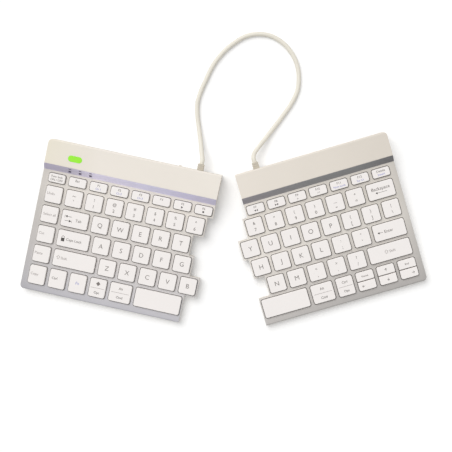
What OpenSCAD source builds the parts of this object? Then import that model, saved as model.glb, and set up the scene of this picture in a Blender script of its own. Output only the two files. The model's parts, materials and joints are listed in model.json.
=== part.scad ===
// Split keyboard: two flat halves on a desk, tied together by a short link cable.
// Each half is built in the deck frame, which both halves share when they are closed up:
// x runs along the key rows from the left edge of the key field, y runs to the back from the
// middle of the number row, and z stands on the upper face of the deck.
// The halves are then tilted by their rear bar and turned apart on the desk.

/* [Key field] */
// Distance between key centres along a row
key_pitch = 19; // [18:0.1:20]
// Distance between the letter rows
row_pitch = 18.6; // [18:0.1:20]
// Depth of the function row
function_row_depth = 11.75; // [11:0.25:14]
// Depth of the front row
front_row_depth = 20.75; // [19:0.25:24]
// Width of the deck web between two key windows
key_web = 2.5; // [2.4:0.1:3]

/* [Keys] */
// Gap between a keycap and its window
key_gap = 0.4; // [0.2:0.05:0.5]
// Height of a keycap above the deck
key_rise = 2.2; // [1.8:0.1:3]
// Depth of the keycap skirt below the deck surface
skirt_depth = 0.3; // [0.2:0.1:0.5]
// Travel of a key
key_travel = 1.6; // [1.4:0.1:2.2]
// Corner radius of a keycap
key_corner = 1.7; // [1.2:0.1:2.2]
// Step that eases the upper edge of a keycap
key_edge = 0.35; // [0.2:0.05:0.5]
// Thickness of the top of a keycap
cap_top = 1.2; // [1:0.1:1.5]
// Thickness of the skirt of a keycap
cap_wall = 1; // [0.8:0.1:1.2]
// Width of the square key stem
stem_w = 4.6; // [4:0.1:5]
// Gap between a stem and its guide hole
stem_gap = 0.2; // [0.15:0.05:0.3]
// Overhang of the lips that keep a stem in its guide
stem_lip = 0.5; // [0.4:0.1:0.8]
// Thickness of those lips
lip_t = 0.6; // [0.5:0.1:1]
// Gap between a resting lip and the guide plate
lip_gap = 0.1; // [0.1:0.05:0.2]
// Widest keycap that one stem carries
single_stem_max = 24; // [20:1:28]
// Distance from the end of a wide keycap to its outer stem
outer_stem_inset = 6; // [5:0.5:9]

/* [Case] */
// Width of the deck beside the key field, at the outer side
side_border = 4.4; // [4:0.1:8]
// Depth of the deck in front of the key field
front_border = 4.9; // [4.7:0.1:10]
// Corner radius of the case at its outer corners
corner_r = 4; // [3:0.5:6]
// Radius of the rolled front, back and lower edges
edge_r = 1.5; // [1:0.1:1.5]
// Thickness of the outer walls
wall_t = 2; // [1.6:0.1:2.1]
// Thickness of the thin wall along the stepped inner edge
seam_wall_t = 0.95; // [0.8:0.05:0.95]
// Gap between the two stepped edges when the halves are closed up
seam_gap = 0.4; // [0.2:0.1:0.5]
// Thickness of the deck
deck_t = 1.5; // [1.2:0.1:1.5]
// Thickness of the floor of the bottom case
floor_t = 1.6; // [1.4:0.1:2.5]
// Width of the ribs under the deck and the guide plate
rib_w = 1.2; // [0.8:0.1:1.6]

/* [Rear ridge] */
// Depth of the deck between the function row and the band
band_margin = 0.75; // [0.5:0.25:3]
// Depth of the sloped band, seen from above
band_depth = 5.65; // [4:0.05:8]
// Thickness of the band strip, measured along the board
band_t = 1; // [0.8:0.1:1.5]
// Thickness of the case wall behind the band, measured the same way
band_wall = 2.5; // [2:0.1:3]
// Depth of the flat top of the ridge
ridge_depth = 22.5; // [22:0.5:30]
// Height of the ridge above the deck
ridge_h = 4.5; // [4:0.1:7]
// Thickness of the top of the ridge
ridge_t = 1.6; // [1.4:0.1:2]
// Drop of the rear bar below the rest of the underside
bar_drop = 5.25; // [4:0.25:9]

/* [Key mechanism] */
// Gap between a pressed keycap and the guide plate
press_gap = 0.2; // [0.15:0.05:0.4]
// Thickness of the guide plate
guide_t = 1; // [0.8:0.1:1.5]
// Height of a fully pressed dome
dome_flat = 0.25; // [0.2:0.05:0.5]
// Radius of a dome at its foot
dome_r = 3.2; // [2.8:0.1:3.5]
// Radius of a dome at its top
dome_top_r = 1.9; // [1.5:0.1:2.2]
// Wall of a dome
dome_wall = 0.5; // [0.4:0.1:0.7]
// Thickness of the dome sheet
sheet_t = 0.3; // [0.2:0.1:0.6]
// Thickness of the membrane
membrane_t = 0.3; // [0.2:0.1:0.6]
// Gap round the layers inside the case
layer_gap = 0.3; // [0.2:0.05:0.4]
// Width of the tail of a membrane
tail_w = 12; // [8:1:16]

/* [Electronics] */
// Depth of a circuit board, front to back
board_depth = 18; // [16:0.5:18]
// Thickness of a circuit board
board_t = 1.2; // [0.8:0.1:1.6]
// Gap between a board and the back wall
board_gap = 1.5; // [1.4:0.1:2.5]
// Length of the battery
battery_l = 58; // [40:1:60]
// Thickness of the battery
battery_t = 6; // [4:0.5:6]
// Width of the charging socket
socket_w = 9; // [8.5:0.1:10]
// Height of the charging socket
socket_h = 3.2; // [3:0.1:3.4]
// Depth of the charging socket
socket_d = 7.3; // [6.5:0.1:9]
// Wall of the charging socket
socket_wall = 0.35; // [0.3:0.05:0.5]
// Travel of the power slider
slider_travel = 2.5; // [1.5:0.1:3]
// Gap round the power slider
slider_gap = 0.15; // [0.15:0.05:0.25]

/* [Fasteners and feet] */
// Shank diameter of the case screws
screw_d = 1.6; // [1.4:0.1:1.6]
// Head diameter of the case screws
screw_head_d = 3; // [2.6:0.1:3.2]
// Head height of the case screws
screw_head_h = 0.9; // [0.7:0.1:1]
// Gap round a screw in its hole
screw_gap = 0.1; // [0.05:0.05:0.15]
// Diameter of the slim bosses behind the front wall
front_boss_d = 3.8; // [3.4:0.1:3.8]
// Diameter of the bosses in the ridge
ridge_boss_d = 5.4; // [4.8:0.1:6]
// Diameter of a foot
foot_d = 9; // [6:0.5:10]
// Height of a foot at its middle
foot_h = 0.9; // [0.7:0.1:2]
// Distance of the feet from the front and back edges
foot_inset = 10; // [9:0.5:12]

/* [Link cable] */
// Diameter of the cable
cable_d = 4; // [3:0.1:4.2]
// Width and height of a gland
gland_w = 6; // [5.5:0.1:7]
// Length of a gland outside the case
gland_l = 6; // [4:0.1:8]
// Width of the neck of a gland in the back wall
gland_neck = 4.6; // [4:0.1:5]

/* [Placement] */
// Turn of the left half on the desk, clockwise
left_turn = 12.4; // [0:0.1:20]
// Angle between the two halves
splay = 28.45; // [20:0.05:45]

/* [Hidden] */
$fn = 48;
eps = 0.01;
// Cuts run past the faces that they open by this much
overcut = 1;
LEFT = 1;
RIGHT = -1;

// Key rows, from the function row to the front row. Each key is [width in key units, node].
field_units = 15.5;
seam_units = [8.25, 8, 7.5, 7.75, 8.25, 7.69];
function single_keys(letters) = [for (c = letters) [1, str("key_", c)]];
function like_keys(count, units, group) = [for (i = [1:count]) [units, group]];
function left_ends(units) = [[1, "left_command_keys"], [units, "left_command_keys"]];
left_rows = [
    concat(like_keys(1, 1, "left_function_keys"),
        like_keys(7, (seam_units[0] - 1) / 7, "left_function_keys")),
    concat(like_keys(1, 1, "left_command_keys"), like_keys(7, 1, "left_number_keys")),
    concat(left_ends(1.5), single_keys("qwert")),
    concat(left_ends(1.75), single_keys("asdfg")),
    concat(left_ends(2.25), single_keys("zxcvb")),
    concat(like_keys(4, 1, "left_command_keys"), like_keys(1, 1.25, "left_command_keys"),
        like_keys(1, seam_units[5] - 5.25, "left_space_key"))
];
right_space_units = 2.44;
arrow_columns = 3;
arrow_units = (field_units - seam_units[5] - right_space_units - 2.25) / arrow_columns;
right_rows = [
    like_keys(7, (field_units - seam_units[0]) / 7, "right_function_keys"),
    concat(like_keys(6, 1, "right_symbol_keys"), like_keys(1, 1.5, "right_command_keys")),
    concat(single_keys("yuiop"), like_keys(3, 1, "right_symbol_keys")),
    concat(single_keys("hjkl"), like_keys(2, 1, "right_symbol_keys"), [[1.75, "right_command_keys"]]),
    concat(single_keys("nm"), like_keys(3, 1, "right_symbol_keys"), [[2.25, "right_command_keys"]]),
    concat(like_keys(1, right_space_units, "right_space_key"), like_keys(1, 1.25, "right_command_keys"),
        like_keys(1, 1, "right_command_keys"), like_keys(arrow_columns, arrow_units, "arrow_keys"))
];
row_count = len(left_rows);
left_key_nodes = concat([for (c = "qwertasdfgzxcvb") str("key_", c)],
    ["left_space_key", "left_function_keys", "left_number_keys", "left_command_keys"]);
right_key_nodes = concat([for (c = "yuiophjklnm") str("key_", c)],
    ["right_space_key", "right_function_keys", "right_symbol_keys", "right_command_keys", "arrow_keys"]);

// Plan of the case: row boundaries from back to front, and the outer edges
row_edges = concat([row_pitch / 2 + function_row_depth], [for (i = [0:4]) row_pitch / 2 - i * row_pitch],
    [-3.5 * row_pitch - front_row_depth]);
case_front = row_edges[row_count] - front_border;
band_front = row_edges[0] + band_margin;
ridge_front = band_front + band_depth;
case_back = ridge_front + ridge_depth;
case_left = -side_border;
case_right = field_units * key_pitch + side_border;
band_lean = (band_depth - band_t) / ridge_h;
seam_inset = seam_gap / 2;

// Heights, from the deck surface down
guide_top = -(skirt_depth + key_travel + press_gap);
guide_low = guide_top - guide_t;
stem_low = guide_low - lip_gap - lip_t;
dome_foot = stem_low - key_travel - dome_flat;
membrane_top = dome_foot - sheet_t;
floor_top = membrane_top - membrane_t;
underside = floor_top - floor_t;
parting = guide_low;
bar_start = row_edges[0] + layer_gap;
bar_floor_top = floor_top - bar_drop;
bar_underside = underside - bar_drop;
floor_mitre = floor_t * tan(22.5);
ridge_ceiling = ridge_h - ridge_t;
board_back = case_back - wall_t - board_gap;
board_front = board_back - board_depth;
board_top = parting + board_t;

// Screw, foot and fitting places along each half, set in from the ends of the ridge and the front wall
seam_x = seam_units[0] * key_pitch;
seam_front_x = seam_units[row_count - 1] * key_pitch;
boss_root = 0.1;
front_boss_y = case_front + wall_t + front_boss_d / 2 - boss_root;
ridge_boss_y = (board_front + board_back) / 2;
ridge_screw_recess = 4.5;
ridge_screw_seat = bar_underside + ridge_screw_recess;
front_screw_seat = underside + screw_head_h + screw_gap;
front_screw_top = -deck_t - 4 * screw_gap;
ridge_screw_top = ridge_ceiling - ridge_boss_d / 2;
end_screw_inset = 9.4;
seam_screw_inset = 6.5;
front_screw_inset = 44;
left_front_screws = [case_left + front_screw_inset, seam_front_x - front_screw_inset + wall_t];
left_ridge_screws = [case_left + end_screw_inset, (case_left + seam_x) / 2 + seam_screw_inset,
    seam_x - seam_screw_inset];
right_front_screws = [seam_front_x + front_screw_inset, case_right - front_screw_inset];
right_ridge_screws = [seam_x + seam_screw_inset, (seam_x + case_right) / 2, case_right - end_screw_inset];
front_foot_inset = 14;
rear_foot_inset = 20;
left_front_feet = [case_left + front_foot_inset, seam_front_x - front_foot_inset];
left_rear_feet = [case_left + rear_foot_inset, seam_x - rear_foot_inset];
right_front_feet = [seam_front_x + front_foot_inset, case_right - front_foot_inset];
right_rear_feet = [seam_x + rear_foot_inset, case_right - rear_foot_inset];
foot_front_y = case_front + foot_inset;
foot_rear_y = case_back - foot_inset;
layer_front = front_boss_y + front_boss_d / 2 + layer_gap;
gland_inset = 20.8;
left_gland_x = seam_x - gland_inset;
right_gland_x = seam_x + gland_inset;
tail_inset = 55;
left_tail_x = seam_x - tail_inset;
right_tail_x = seam_x + tail_inset;
board_seam_inset = 10.5;
left_board_x = [case_left + wall_t + board_gap, seam_x - board_seam_inset];
right_board_x = [seam_x + board_seam_inset, case_right - end_screw_inset - ridge_boss_d];
boss_hole_gap = 0.4;
battery_x = (left_ridge_screws[0] + left_ridge_screws[1]) / 2;
battery_corner = 1.5;
board_rib_w = 1;
board_rib_inset = 0.4;
board_rib_end = 1;
plug_d = 3;
tail_end = board_front + board_rib_inset + board_rib_w + layer_gap + plug_d;
lead_plug = [8, 4, 3];
socket_inset = 72;
socket_x = seam_x - socket_inset;
socket_gap = 0.05;
socket_back = 1;
tongue_inset = 1.2;
tongue_setback = 1;
tongue_t = 0.7;
switch_inset = 38;
switch_x = seam_x - switch_inset;
status_inset = 27.15;
status_setback = 8.35;
status_x = case_left + status_inset;
status_y = ridge_front + status_setback;
status_w = 13;
status_d = 5.6;
lens_flange = 1;
lens_flange_t = 0.8;
lens_leg_w = 3;
lens_rise = 0.25;
lens_gap = 0.05;
led_w = 2;
led_h = 0.8;
lock_spacing = 9.7;
lock_inset = 33.95;
lock_x = [for (i = [-1:1]) case_left + lock_inset + i * lock_spacing];
lock_w = 2.4;
lock_z = [1, 2.6];
lock_leg_inset = 1;
lock_leg_d = 1.6;
lock_leg = [board_front + lock_leg_inset, board_front + lock_leg_inset + lock_leg_d];
carriage_w = 3.8;
carriage_h = 1.7;
carriage_d = 1.5;
housing_wall = 1;
nub_w = 2.4;
nub_rise = 0.9;
switch_z = board_top + carriage_h / 2 + slider_gap;
gland_flange_w = 7;
gland_flange_t = 1.2;

// The rear bar sets the tilt: front and rear feet stand on one desk
tilt = atan(bar_drop / (foot_rear_y - foot_front_y));
lift = foot_h - foot_front_y * sin(tilt) - underside * cos(tilt);
pole_inset = 0.15;
pole_setback = 22.85;
pole = [seam_x + pole_inset, case_back + pole_setback];
function turned(p, a) = [p.x * cos(a) - p.y * sin(a), p.x * sin(a) + p.y * cos(a), p.z];
function on_desk(p) = [p.x, p.y * cos(tilt) - p.z * sin(tilt), p.y * sin(tilt) + p.z * cos(tilt) + lift];
function splayed(p) = turned(p - [pole.x, pole.y, 0], splay) + [pole.x, pole.y, 0];
function left_on_desk(p) = turned(on_desk(p), -left_turn);
function right_on_desk(p) = turned(splayed(on_desk(p)), -left_turn);

// The part's origin lies under the middle of the box round both halves
left_front_corner = left_on_desk([case_left + corner_r, case_front + corner_r, 0]);
right_front_corner = right_on_desk([case_right - corner_r, case_front + corner_r, 0]);
right_back_corner = right_on_desk([case_right - corner_r, case_back - corner_r, bar_underside + edge_r]);
left_back_corner = left_on_desk([case_left + corner_r, case_back - corner_r, bar_underside + edge_r]);
left_front_tip = left_on_desk([seam_units[5] * key_pitch - seam_inset, case_front, -edge_r]);
right_front_tip = right_on_desk([seam_units[5] * key_pitch + seam_inset, case_front, -edge_r]);
origin_shift = -[
    (left_front_corner.x + right_front_corner.x) / 2,
    (max(left_back_corner.y, right_back_corner.y) + corner_r
        + min(left_front_tip.y, right_front_tip.y)) / 2,
    0];

// Route of the link cable on the desk, in the part's frame, between the two glands
cable_points = [
    [-18.5, 71, 9], [-19.5, 80, 5.2], [-21.5, 95, 2.3], [-22.8, 106, 2.1], [-22.5, 117, 2.1],
    [-19.5, 127, 2.1], [-15, 137, 2.1], [-8, 151, 2.1], [1, 162.5, 2.1], [11, 171, 2.1],
    [22, 177.2, 2.1], [34, 179.2, 2.1], [46, 177, 2.1], [57, 170, 2.1], [65, 160, 2.1],
    [69.5, 148.5, 2.1], [70.5, 136, 2.1], [68.5, 125, 2.1], [62.5, 113.5, 2.1], [55, 103, 2.3],
    [47, 92.5, 3], [40, 83.5, 5], [33.5, 75, 8], [29.8, 69.5, 9.7]
];
cable_steps = 2;
cable_sides = 8;

module left_half() {
    translate(origin_shift) rotate(-left_turn) desk_tilt() children();
}

module right_half() {
    right_turn() desk_tilt() children();
}

module right_turn() {
    translate(origin_shift) rotate(-left_turn) translate(pole) rotate(splay) translate(-pole) children();
}

module desk_tilt() {
    translate([0, 0, lift]) rotate([tilt, 0, 0]) children();
}

// Key cells as [node, middle x, middle y, width, depth], worked out row by row on a fine grid
cell_grid = 0.02;
function neat(v) = round(v / cell_grid) * cell_grid;
function units_before(row, i) = i == 0 ? 0 : row[i - 1][0] + units_before(row, i - 1);
function cells(rows, starts) = [
    for (r = [0:row_count - 1])
        for (i = [0:len(rows[r]) - 1])
            [rows[r][i][1],
                neat(key_pitch * (starts[r] + units_before(rows[r], i) + rows[r][i][0] / 2)),
                (row_edges[r] + row_edges[r + 1]) / 2,
                neat(key_pitch * rows[r][i][0]),
                row_edges[r] - row_edges[r + 1]]
];
left_cells = cells(left_rows, [for (r = left_rows) 0]);
right_cells = cells(right_rows, seam_units);

// Keycaps as [node, x, y, width, depth, facing]. A cell of the arrow block holds two short caps, which
// face each other with square corners: facing is 1 where that side is at the back, and -1 at the front.
function caps(some_cells) = [
    for (c = some_cells)
        let (
            w = c[3] - key_web - 2 * key_gap,
            window_d = c[4] - key_web,
            short_d = neat((window_d - 3 * key_gap) / 2)
        )
            if (c[0] == "arrow_keys") each [
                for (side = [1, -1]) [c[0], c[1], c[2] + side * (short_d + key_gap) / 2, w, short_d, -side]
            ]
            else [c[0], c[1], c[2], w, window_d - 2 * key_gap, 0]
];
left_caps = caps(left_cells);
right_caps = caps(right_cells);
function stem_offsets(w) = w <= single_stem_max ? [0]
    : [0, outer_stem_inset - w / 2, w / 2 - outer_stem_inset];

// Stepped inner edge from back to front, moved into the half by inset
function step_sign(side, i) = side * sign(seam_units[i] - seam_units[i + 1]);
function seam_points(side, inset, wall) = concat(
    [[seam_units[0] * key_pitch - side * inset, case_back - wall]],
    [for (i = [0:row_count - 2]) each [
        [seam_units[i] * key_pitch - side * inset, row_edges[i + 1] + inset * step_sign(side, i)],
        [seam_units[i + 1] * key_pitch - side * inset, row_edges[i + 1] + inset * step_sign(side, i)]
    ]],
    [[seam_units[row_count - 1] * key_pitch - side * inset, case_front + wall]]
);

module half_plan(side, inset, wall) {
    outer_x = (side == LEFT ? case_left : case_right) + side * wall;
    r = corner_r - wall;
    front = case_front + wall;
    back = case_back - wall;
    polygon(concat(seam_points(side, inset, wall), [
        [outer_x + side * r, front], [outer_x, front + r], [outer_x, back - r], [outer_x + side * r, back]
    ]));
    for (y = [front + r, back - r]) translate([outer_x + side * r, y]) circle(r);
}

module layer_plan(side) {
    intersection() {
        half_plan(side, seam_inset + seam_wall_t + layer_gap, wall_t + layer_gap);
        translate([case_left, layer_front]) square([case_right - case_left, bar_start - layer_front]);
    }
}

module slab(low, high) {
    translate([0, 0, low]) linear_extrude(high - low) children();
}

// Turns a side view, drawn as y and z, into a bar along the rows
module along_rows(from = case_left, to = case_right) {
    translate([from, 0, 0]) rotate([90, 0, 90]) linear_extrude(to - from) children();
}

module block(from, to) {
    translate(from) cube(to - from);
}

module rounded_plan(w, d, r) {
    square([w - 2 * r, d], center = true);
    square([w, d - 2 * r], center = true);
    for (sx = [-1, 1], sy = [-1, 1]) translate([sx * (w / 2 - r), sy * (d / 2 - r)]) circle(r);
}

// Ribs along the row boundaries, kept inside the layers' outline
module row_ribs(side, low, high) {
    intersection() {
        slab(low, high) layer_plan(side);
        union() for (i = [1:row_count - 1])
            block([case_left, row_edges[i] - rib_w / 2, low], [case_right, row_edges[i] + rib_w / 2, high]);
    }
}

module top_profile() {
    polygon([
        [case_front, parting], [case_front, -edge_r], [case_front + edge_r, 0], [band_front + band_t, 0],
        [ridge_front, ridge_h], [case_back - edge_r, ridge_h], [case_back, ridge_h - edge_r],
        [case_back, parting]
    ]);
    translate([case_front + edge_r, -edge_r]) circle(edge_r);
    translate([case_back - edge_r, ridge_h - edge_r]) circle(edge_r);
}

module top_cavity_profile() {
    slope_y = band_front + band_t + band_wall;
    polygon([
        [case_front, parting - overcut], [case_front, -deck_t], [slope_y - deck_t * band_lean, -deck_t],
        [slope_y + ridge_ceiling * band_lean, ridge_ceiling], [case_back, ridge_ceiling],
        [case_back, parting - overcut]
    ]);
}

module bottom_profile() {
    polygon([
        [case_front, parting], [case_front, underside + edge_r], [case_front + edge_r, underside],
        [bar_start, underside], [bar_start + bar_drop, bar_underside], [case_back - edge_r, bar_underside],
        [case_back, bar_underside + edge_r], [case_back, parting]
    ]);
    translate([case_front + edge_r, underside + edge_r]) circle(edge_r);
    translate([case_back - edge_r, bar_underside + edge_r]) circle(edge_r);
}

module bottom_cavity_profile() {
    polygon([
        [case_front, parting + overcut], [case_front, floor_top], [bar_start + floor_mitre, floor_top],
        [bar_start + floor_mitre + bar_drop, bar_floor_top], [case_back, bar_floor_top],
        [case_back, parting + overcut]
    ]);
}

module shell(side) {
    difference() {
        intersection() {
            slab(bar_underside - overcut, ridge_h + overcut) half_plan(side, seam_inset, 0);
            along_rows(case_left - overcut, case_right + overcut) children(0);
        }
        intersection() {
            slab(bar_underside - 2 * overcut, ridge_h + 2 * overcut)
                half_plan(side, seam_inset + seam_wall_t, wall_t);
            along_rows(case_left - overcut, case_right + overcut) children(1);
        }
    }
}

module bosses(front_x, ridge_x, front_low, front_high, ridge_low, ridge_high) {
    for (x = front_x) translate([x, front_boss_y, front_low])
        cylinder(d = front_boss_d, h = front_high - front_low);
    for (x = ridge_x) translate([x, ridge_boss_y, ridge_low])
        cylinder(d = ridge_boss_d, h = ridge_high - ridge_low);
}

// Clearance for the screws: shank all the way, heads from below
module screw_holes(front_x, ridge_x) {
    for (x = front_x) translate([x, front_boss_y, 0])
        screw_shape(underside - overcut, front_screw_seat, front_screw_top, screw_gap);
    for (x = ridge_x) translate([x, ridge_boss_y, 0])
        screw_shape(bar_underside - overcut, ridge_screw_seat, ridge_screw_top, screw_gap);
}

module screw_shape(head_low, seat, top, gap) {
    translate([0, 0, head_low]) cylinder(d = screw_head_d + 2 * gap, h = seat - head_low);
    translate([0, 0, seat - eps]) cylinder(d = screw_d + 2 * gap, h = top + gap - seat + eps);
}

module gland_hole(x) {
    block([x - gland_neck / 2, case_back - wall_t - overcut, parting - gland_neck / 2],
        [x + gland_neck / 2, case_back + overcut, parting + gland_neck / 2]);
}

module windows(some_cells) {
    for (c = some_cells) translate([c[1], c[2]]) slab(-deck_t - overcut, overcut)
        rounded_plan(c[3] - key_web, c[4] - key_web, key_corner + key_gap);
}

module plain_top_case(side, some_cells, front_x, ridge_x, gland_x) {
    difference() {
        union() {
            shell(side) {
                top_profile();
                top_cavity_profile();
            }
            row_ribs(side, guide_top, -deck_t + eps);
            bosses(front_x, ridge_x, parting, -deck_t + eps, parting, ridge_ceiling + eps);
        }
        windows(some_cells);
        screw_holes(front_x, ridge_x);
        gland_hole(gland_x);
    }
}

module left_top_case() {
    color([0.89, 0.86, 0.81]) difference() {
        plain_top_case(LEFT, left_cells, left_front_screws, left_ridge_screws, left_gland_x);
        socket_opening();
        slider_slot();
        status_opening();
        lock_openings();
    }
}

module right_top_case() {
    color([0.87, 0.84, 0.79])
        plain_top_case(RIGHT, right_cells, right_front_screws, right_ridge_screws, right_gland_x);
}

module bottom_case(side, front_x, ridge_x, gland_x, board_x, tail_x) {
    difference() {
        union() {
            shell(side) {
                bottom_profile();
                bottom_cavity_profile();
            }
            bosses(front_x, ridge_x, floor_top - eps, parting, bar_floor_top - eps, parting);
            board_ribs(board_x);
        }
        screw_holes(front_x, ridge_x);
        gland_hole(gland_x);
        block([tail_x - tail_w / 2 - layer_gap, board_front, floor_top],
            [tail_x + tail_w / 2 + layer_gap, tail_end, parting + overcut]);
    }
}

// Two low walls that carry a board by its long edges
module board_ribs(board_x) {
    for (y = [board_front + board_rib_inset, board_back - board_rib_inset - board_rib_w])
        block([board_x[0] + board_rib_end, y, bar_floor_top - eps],
            [board_x[1] - board_rib_end, y + board_rib_w, parting]);
}

module left_bottom_case() {
    color([0.84, 0.81, 0.77])
        bottom_case(LEFT, left_front_screws, left_ridge_screws, left_gland_x, left_board_x, left_tail_x);
}

module right_bottom_case() {
    color([0.82, 0.79, 0.75])
        bottom_case(RIGHT, right_front_screws, right_ridge_screws, right_gland_x, right_board_x,
            right_tail_x);
}

module band(side) {
    intersection() {
        slab(-overcut, ridge_h + overcut) half_plan(side, seam_inset, 0);
        along_rows() polygon([
            [band_front, 0], [band_front + band_t, 0], [ridge_front, ridge_h],
            [ridge_front - band_t, ridge_h]
        ]);
    }
}

module left_band() {
    color([0.76, 0.74, 0.82]) difference() {
        band(LEFT);
        lock_openings();
    }
}

module right_band() {
    color([0.52, 0.5, 0.51]) band(RIGHT);
}

module key_guide(side, some_caps) {
    color([0.3, 0.3, 0.32]) difference() {
        union() {
            slab(guide_low, guide_top) layer_plan(side);
            row_ribs(side, dome_foot, guide_low + eps);
        }
        for (k = some_caps, dx = stem_offsets(k[3]))
            translate([k[1] + dx, k[2]]) slab(guide_low - eps, guide_top + eps)
                square(stem_w + 2 * stem_gap, center = true);
    }
}

module dome_sheet(side, some_caps) {
    dome_h = stem_low - dome_foot;
    color([0.9, 0.9, 0.92]) difference() {
        union() {
            slab(membrane_top, dome_foot) layer_plan(side);
            for (k = some_caps) translate([k[1], k[2], dome_foot - eps])
                cylinder(r1 = dome_r, r2 = dome_top_r, h = dome_h + eps);
        }
        for (k = some_caps) translate([k[1], k[2], membrane_top - eps])
            cylinder(r1 = dome_r - dome_wall, r2 = dome_top_r - dome_wall,
                h = dome_h + sheet_t - dome_wall);
    }
}

// The tail runs back over the edge of the floor to the plug under the board
module membrane(side, tail_x) {
    color([0.75, 0.78, 0.72]) {
        slab(floor_top, membrane_top) layer_plan(side);
        block([tail_x - tail_w / 2, bar_start - eps, floor_top],
            [tail_x + tail_w / 2, tail_end, membrane_top]);
    }
}

module board(board_x, ridge_x, tail_x, gland_x) {
    difference() {
        block([board_x[0], board_front, parting], [board_x[1], board_back, board_top]);
        for (x = ridge_x) translate([x, ridge_boss_y, parting - overcut])
            cylinder(d = ridge_boss_d + 2 * boss_hole_gap, h = board_t + 2 * overcut);
    }
    // plug for the membrane tail
    block([tail_x - tail_w / 2, tail_end - plug_d, membrane_top],
        [tail_x + tail_w / 2, tail_end, parting + eps]);
    // plug for the leads of the link cable
    translate([gland_x - lead_plug.x / 2, board_back - 2 * lead_plug.y, board_top - eps]) cube(lead_plug);
}

module light_source(x, y) {
    block([x - led_w / 2, y - led_w / 2, board_top - eps],
        [x + led_w / 2, y + led_w / 2, board_top + led_h]);
}

module main_board() {
    half_slot = (carriage_w + slider_travel) / 2 + slider_gap;
    slot_front = board_back - carriage_d - 2 * slider_gap;
    slot_top = switch_z + carriage_h / 2 + slider_gap;
    color([0.12, 0.4, 0.22]) difference() {
        union() {
            board(left_board_x, left_ridge_screws, left_tail_x, left_gland_x);
            block([switch_x - half_slot - housing_wall, slot_front - housing_wall, board_top - eps],
                [switch_x + half_slot + housing_wall, board_back, slot_top + housing_wall]);
            for (x = lock_x) light_source(x, (lock_leg[0] + lock_leg[1]) / 2);
            light_source(status_x, status_y);
        }
        block([switch_x - half_slot, slot_front, board_top],
            [switch_x + half_slot, board_back + overcut, slot_top]);
    }
}

module right_board() {
    color([0.12, 0.4, 0.22]) board(right_board_x, right_ridge_screws, right_tail_x, right_gland_x);
}

// Flat pouch cell between the board ribs
module battery() {
    front = board_front + board_rib_inset + board_rib_w + layer_gap;
    back = board_back - board_rib_inset - board_rib_w - layer_gap;
    color([0.35, 0.42, 0.55]) translate([battery_x, (front + back) / 2])
        slab(bar_floor_top, bar_floor_top + battery_t)
            rounded_plan(battery_l, back - front, battery_corner);
}

module socket_opening() {
    block([socket_x - socket_w / 2 - socket_gap, case_back - wall_t - overcut, board_top - socket_gap],
        [socket_x + socket_w / 2 + socket_gap, case_back + overcut, board_top + socket_h + socket_gap]);
}

module charge_socket() {
    mouth = socket_d - socket_back;
    middle_z = board_top + socket_h / 2;
    color([0.7, 0.7, 0.72]) difference() {
        block([socket_x - socket_w / 2, case_back - socket_d, board_top],
            [socket_x + socket_w / 2, case_back, board_top + socket_h]);
        block([socket_x - socket_w / 2 + socket_wall, case_back - mouth, board_top + socket_wall],
            [socket_x + socket_w / 2 - socket_wall, case_back + overcut, board_top + socket_h - socket_wall]);
    }
    color([0.1, 0.1, 0.1]) block(
        [socket_x - socket_w / 2 + tongue_inset, case_back - mouth - eps, middle_z - tongue_t / 2],
        [socket_x + socket_w / 2 - tongue_inset, case_back - tongue_setback, middle_z + tongue_t / 2]);
}

module slider_slot() {
    block([switch_x - (nub_w + slider_travel) / 2 - slider_gap, case_back - wall_t - overcut,
            switch_z - carriage_h / 2 - slider_gap],
        [switch_x + (nub_w + slider_travel) / 2 + slider_gap, case_back + overcut,
            switch_z + carriage_h / 2 + slider_gap]);
}

// Carriage in the switch housing with a nub that stands out of the back wall
module power_slider() {
    x = switch_x - slider_travel / 2;
    carriage_back = board_back - slider_gap;
    color([0.2, 0.2, 0.21]) {
        block([x - carriage_w / 2, carriage_back - carriage_d, switch_z - carriage_h / 2],
            [x + carriage_w / 2, carriage_back, switch_z + carriage_h / 2]);
        block([x - nub_w / 2, carriage_back - eps, switch_z - carriage_h / 2],
            [x + nub_w / 2, case_back + nub_rise, switch_z + carriage_h / 2]);
    }
}

module status_opening() {
    translate([status_x, status_y]) slab(ridge_ceiling - overcut, ridge_h + overcut)
        rounded_plan(status_w + 2 * lens_gap, status_d + 2 * lens_gap, status_d / 2 + lens_gap - eps);
}

module lock_openings() {
    for (x = lock_x) block([x - lock_w / 2 - lens_gap, band_front - overcut, lock_z[0] - lens_gap],
        [x + lock_w / 2 + lens_gap, lock_leg[0], lock_z[1] + lens_gap]);
}

// Light guides: a pill-shaped lens in the ridge and three small ones in the band
module indicator_lenses() {
    color([0.6, 0.9, 0.25]) translate([status_x, status_y]) {
        slab(ridge_ceiling - eps, ridge_h + lens_rise) rounded_plan(status_w, status_d, status_d / 2 - eps);
        slab(ridge_ceiling - lens_flange_t, ridge_ceiling)
            rounded_plan(status_w + 2 * lens_flange, status_d + 2 * lens_flange, status_d / 2);
        slab(board_top + led_h, ridge_ceiling - eps) square(lens_leg_w, center = true);
    }
    color([0.35, 0.34, 0.38]) for (x = lock_x) along_rows(x - lock_w / 2, x + lock_w / 2) polygon([
        [band_front + lock_z[0] * band_lean, lock_z[0]], [band_front + lock_z[1] * band_lean, lock_z[1]],
        [lock_leg[1], lock_z[1]], [lock_leg[1], board_top + led_h], [lock_leg[0], board_top + led_h],
        [lock_leg[0], lock_z[0]]
    ]);
}

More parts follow.
